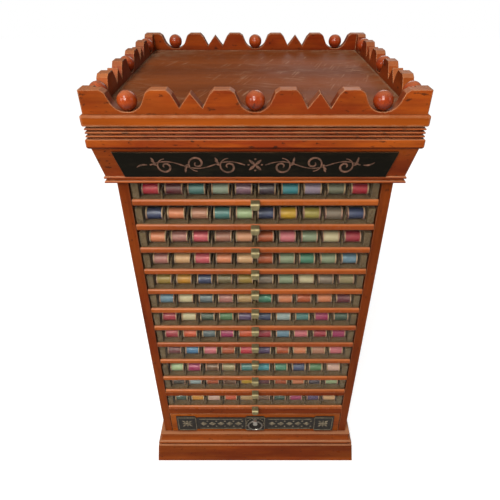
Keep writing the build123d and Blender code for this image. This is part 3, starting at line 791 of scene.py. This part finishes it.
spool_wood = shellacked_wood("spool_birch", "across", (0.60, 0.42, 0.25), (0.36, 0.22, 0.12), wear=0.2,
                             wear_colour=(0.75, 0.58, 0.38), wear_radius=0.0004, roughness=0.42, coat=0.15,
                             dust=0.0, ring_scale=120.0, contrast=0.5)

SPOOL_SIDES = 28
SPOOL_RADIUS = 0.0120
SPOOL_HALF = 0.0155
SPOOL_PLAY = 0.0012
FLANGE = 0.0023
RIM = 0.0006
BORE = 0.0035
RIDGES = 17
RIDGE_HEIGHT = 0.00012
CROWN_HEIGHT = 0.0006
LANES = 10


def spool_profile(half, rng):
    """(along, radius, is thread) round one spool: out of the bore, over a flange, across the winding."""
    fullness = rng.uniform(0.0101, 0.0110)
    flange = [(half, BORE), (half, SPOOL_RADIUS - RIM), (half - RIM, SPOOL_RADIUS),
              (half - FLANGE + RIM, SPOOL_RADIUS), (half - FLANGE, SPOOL_RADIUS - RIM)]
    profile = [(along, radius, False) for along, radius in flange]
    for step in range(2 * RIDGES + 1):
        share = step / (2 * RIDGES)
        crown = CROWN_HEIGHT * (1 - (2 * share - 1) ** 2) ** 0.5
        ridge = RIDGE_HEIGHT if step % 2 else 0.0
        profile.append(((half - FLANGE) * (1 - 2 * share), fullness - CROWN_HEIGHT + crown + ridge, True))
    profile += [(-along, radius, False) for along, radius in reversed(flange)]
    return profile


def build_spool(mesh, centre, half, colour, dye_layer, rng):
    """Lathe one spool about the X axis into the row's mesh."""
    profile = spool_profile(half, rng)
    rings = []
    for along, radius, _ in profile:
        ring = []
        for side in range(SPOOL_SIDES):
            angle = 2 * pi * side / SPOOL_SIDES
            ring.append(mesh.verts.new((centre.x + along, centre.y + radius * cos(angle),
                                        centre.z + radius * sin(angle))))
        rings.append(ring)
    count = len(rings)
    for index in range(count):
        following = (index + 1) % count
        is_thread = profile[index][2] and profile[following][2]
        in_bore = index == count - 1
        for side in range(SPOOL_SIDES):
            beside = (side + 1) % SPOOL_SIDES
            face = mesh.faces.new((rings[index][side], rings[index][beside],
                                   rings[following][beside], rings[following][side]))
            face.smooth = not in_bore
            face.material_index = 0 if is_thread else 1
            for loop in face.loops:
                loop[dye_layer] = (*colour, 1)


for drawer, names in zip(DRAWERS, ROWS):
    low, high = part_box(f"{drawer}_spools")
    spool_rng = random.Random(drawer)
    lane_step = (high.x - low.x - 2 * SPOOL_HALF) / (LANES - 1)
    row = bmesh.new()
    dye_layer = row.loops.layers.float_color.new("dye")
    for lane, name in enumerate(names.split()):
        middle = Vector((low.x + SPOOL_HALF + lane * lane_step, (low.y + high.y) / 2, (low.z + high.z) / 2))
        middle.x += spool_rng.uniform(-SPOOL_PLAY, SPOOL_PLAY) if 0 < lane < LANES - 1 else 0.0
        half = SPOOL_HALF - spool_rng.uniform(0.0, 0.0005)
        build_spool(row, middle, half, THREAD[name], dye_layer, spool_rng)
    spool_row = new_piece(f"{drawer}_spool_row", row, silk, spool_wood)
    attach(spool_row, drawer)
    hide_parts(f"{drawer}_spools")

# ---- Finger pulls ----
# A strip of brass bent over to hook a finger behind, fixed to the middle of each rail.
# It has tarnished brown except where fingers polish it.


def metal(name, bright, dull, roughness, tarnish=0.5, metallic=1.0, wear=0.6, wear_colour=None, scale=160.0,
          plated_before=None):
    """A worn metal: patchy tarnish, polished arrises, fine scuffs; plated before a level in Y, if given."""
    made, tree, output = new_material(name)
    place = object_place(tree)
    patches = ranged(tree, noise(tree, place, scale, 6, 0.65), 0.34, 0.66, 0.0, tarnish)
    edges = use_group(tree, wear_group, {"Radius": 0.0006, "Amount": wear, "Scale": 90.0})
    colour = mixed(tree, edges["Mask"], mixed(tree, patches, bright, dull), wear_colour or bright)
    rough = plus(tree, ranged(tree, patches, 0, 1, roughness, roughness + 0.25),
                 times(tree, edges["Mask"], -0.08))
    if plated_before is not None:
        plated = calculated(tree, "LESS_THAN", axes_of(tree, place)[1], plated_before)
        colour = mixed(tree, plated, colour, (0.56, 0.54, 0.49))
        metallic = ranged(tree, plated, 0, 1, metallic, 0.9)
        rough = ranged(tree, plated, 0, 1, rough, 0.3)
    scuff = noise(tree, stretched(tree, place, (400, 90, 1800)), 1.0, 3)
    set_surface(tree, output, {"Base Color": colour, "Metallic": metallic, "Roughness": rough,
                               "Normal": bumped(tree, scuff, 0.12, 0.0002, edges["Normal"])})
    return made


pull_brass = metal("pull_brass", (0.36, 0.31, 0.16), (0.17, 0.135, 0.060), 0.42, tarnish=0.7, metallic=0.7)
for drawer in DRAWERS:
    dress(f"{drawer}_pull", pull_brass)

# ---- Bottom drawer ----
# A plain cherry front, finished a brighter orange than the case, on a box of bare poplar boards.
# The finish stops at the back of the front board.

BOX_LIGHT = (0.33, 0.20, 0.10)
BOX_DARK = (0.16, 0.085, 0.040)
BOTTOM_FRONT_THICKNESS = 0.018
plate_low, plate_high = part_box("pull_plate")
finish_end = plate_high.y + BOTTOM_FRONT_THICKNESS - 0.0005
dress("bottom_drawer", shellacked_wood("orange_front", "across", (0.38, 0.092, 0.008), (0.16, 0.036, 0.004),
                                       roughness=0.3, dust=0.1, bare=(finish_end, BOX_LIGHT, BOX_DARK)))

# ---- Pull plate and drop ring ----
# Thin black-japanned casting with raised crosses on its wide ends and lozenges along its bars,
# bolted on; a worn nickel ring hangs in the eye of its post over a polished boss.

PLATE_THICKNESS = 0.0025
PLATE_FACE = plate_high.y - PLATE_THICKNESS
PLATE_MIDDLE = (plate_low.z + plate_high.z) / 2
PLATE_HALF = plate_high.x
END_WIDTH = 0.052
END_HEIGHT = plate_high.z - plate_low.z
MIDDLE_HALF = 0.0275
BAR_HEIGHT = END_HEIGHT - 0.010
BAR_FIGURES = 5
BORDER_INSET = 0.004
BORDER_WIDTH = 0.0016
BORDER_RISE = 0.0009
PEARLS = 20
PEARL_CIRCLE = 0.0215

dress("pull_plate", metal("japanned_iron", (0.016, 0.013, 0.010), (0.007, 0.006, 0.005), 0.55, metallic=0.0,
                          wear=0.8, wear_colour=(0.13, 0.105, 0.07), plated_before=PLATE_FACE - 0.0005))
rubbed_iron = metal("rubbed_iron", (0.24, 0.195, 0.125), (0.035, 0.029, 0.021), 0.50, metallic=0.0,
                    tarnish=0.9, wear=0.8, scale=110.0)
dress("drop_ring", metal("worn_nickel", (0.36, 0.34, 0.30), (0.11, 0.10, 0.085), 0.26, tarnish=0.7))


def raised(mesh, outline, height, shrink):
    """A raised figure on the plate: its outline at the face, and a smaller flat on top."""
    middle = Vector((sum(point[0] for point in outline), sum(point[1] for point in outline))) / len(outline)
    foot = []
    crest = []
    for across, up in outline:
        foot.append(mesh.verts.new((across, PLATE_FACE + 0.0003, PLATE_MIDDLE + up)))
        inner = middle + (Vector((across, up)) - middle) * shrink
        crest.append(mesh.verts.new((inner.x, PLATE_FACE - height, PLATE_MIDDLE + inner.y)))
    for index in range(len(outline)):
        following = (index + 1) % len(outline)
        mesh.faces.new((foot[index], foot[following], crest[following], crest[index]))
    mesh.faces.new(crest)
    mesh.faces.new(foot[::-1])


def lozenge(centre, half_across, half_up, sides=4):
    """A diamond or, with more sides, an oval outline."""
    angles = [2 * pi * side / sides for side in range(sides)]
    return [(centre[0] + half_across * cos(angle), centre[1] + half_up * sin(angle)) for angle in angles]


def strip(start, end):
    """The outline of a straight border line between two points."""
    start, end = Vector(start), Vector(end)
    side = (end - start).normalized().orthogonal() * BORDER_WIDTH / 2
    return [tuple(start + side), tuple(end + side), tuple(end - side), tuple(start - side)]


def border(mesh, left, right):
    """A raised line round a panel of the plate's full height."""
    half_height = END_HEIGHT / 2 - BORDER_INSET
    for up in (-half_height, half_height):
        raised(mesh, strip((left, up), (right, up)), BORDER_RISE, 0.9)
    for across in (left, right):
        raised(mesh, strip((across, -half_height), (across, half_height)), BORDER_RISE, 0.9)


relief_mesh = bmesh.new()
for hand in (-1, 1):
    end_middle = hand * (PLATE_HALF - END_WIDTH / 2)
    half_end = END_WIDTH / 2 - BORDER_INSET
    border(relief_mesh, end_middle - half_end, end_middle + half_end)
    for petal in range(8):
        angle = petal * pi / 4
        reach = 0.019 if petal % 2 else 0.014
        point = (end_middle + reach * 0.56 * cos(angle), reach * 0.56 * sin(angle))
        turned = [(point[0] + across * cos(angle) - up * sin(angle),
                   point[1] + across * sin(angle) + up * cos(angle))
                  for across, up in lozenge((0, 0), reach * 0.42, 0.0034)]
        raised(relief_mesh, turned, 0.0012, 0.35)
    raised(relief_mesh, lozenge((end_middle, 0), 0.0052, 0.0052, 16), 0.0016, 0.45)
    bar_start = MIDDLE_HALF + BORDER_INSET
    bar_end = PLATE_HALF - END_WIDTH - BORDER_INSET
    for up in (-1, 1):
        rail = up * (BAR_HEIGHT / 2 - 0.0045)
        raised(relief_mesh, strip((hand * bar_start, rail), (hand * bar_end, rail)), BORDER_RISE, 0.96)
    for figure in range(BAR_FIGURES):
        across = hand * (bar_start + (figure + 0.5) * (bar_end - bar_start) / BAR_FIGURES)
        raised(relief_mesh, lozenge((across, 0), 0.0098, 0.0085), 0.0010, 0.62)
        raised(relief_mesh, lozenge((across, 0), 0.0036, 0.0036, 14), 0.0017, 0.4)
        for up in (-1, 1):
            raised(relief_mesh, lozenge((across + 0.0100, up * 0.0105), 0.0030, 0.0022, 10), 0.0010, 0.5)
border(relief_mesh, -MIDDLE_HALF + BORDER_INSET, MIDDLE_HALF - BORDER_INSET)
for pearl in range(PEARLS):
    angle = pearl * 2 * pi / PEARLS
    place_on_ring = (PEARL_CIRCLE * cos(angle), PEARL_CIRCLE * sin(angle))
    raised(relief_mesh, lozenge(place_on_ring, 0.0021, 0.0021, 8), 0.0010, 0.5)
plate_relief = new_piece("plate_relief", relief_mesh, rubbed_iron)
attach(plate_relief, "bottom_drawer")
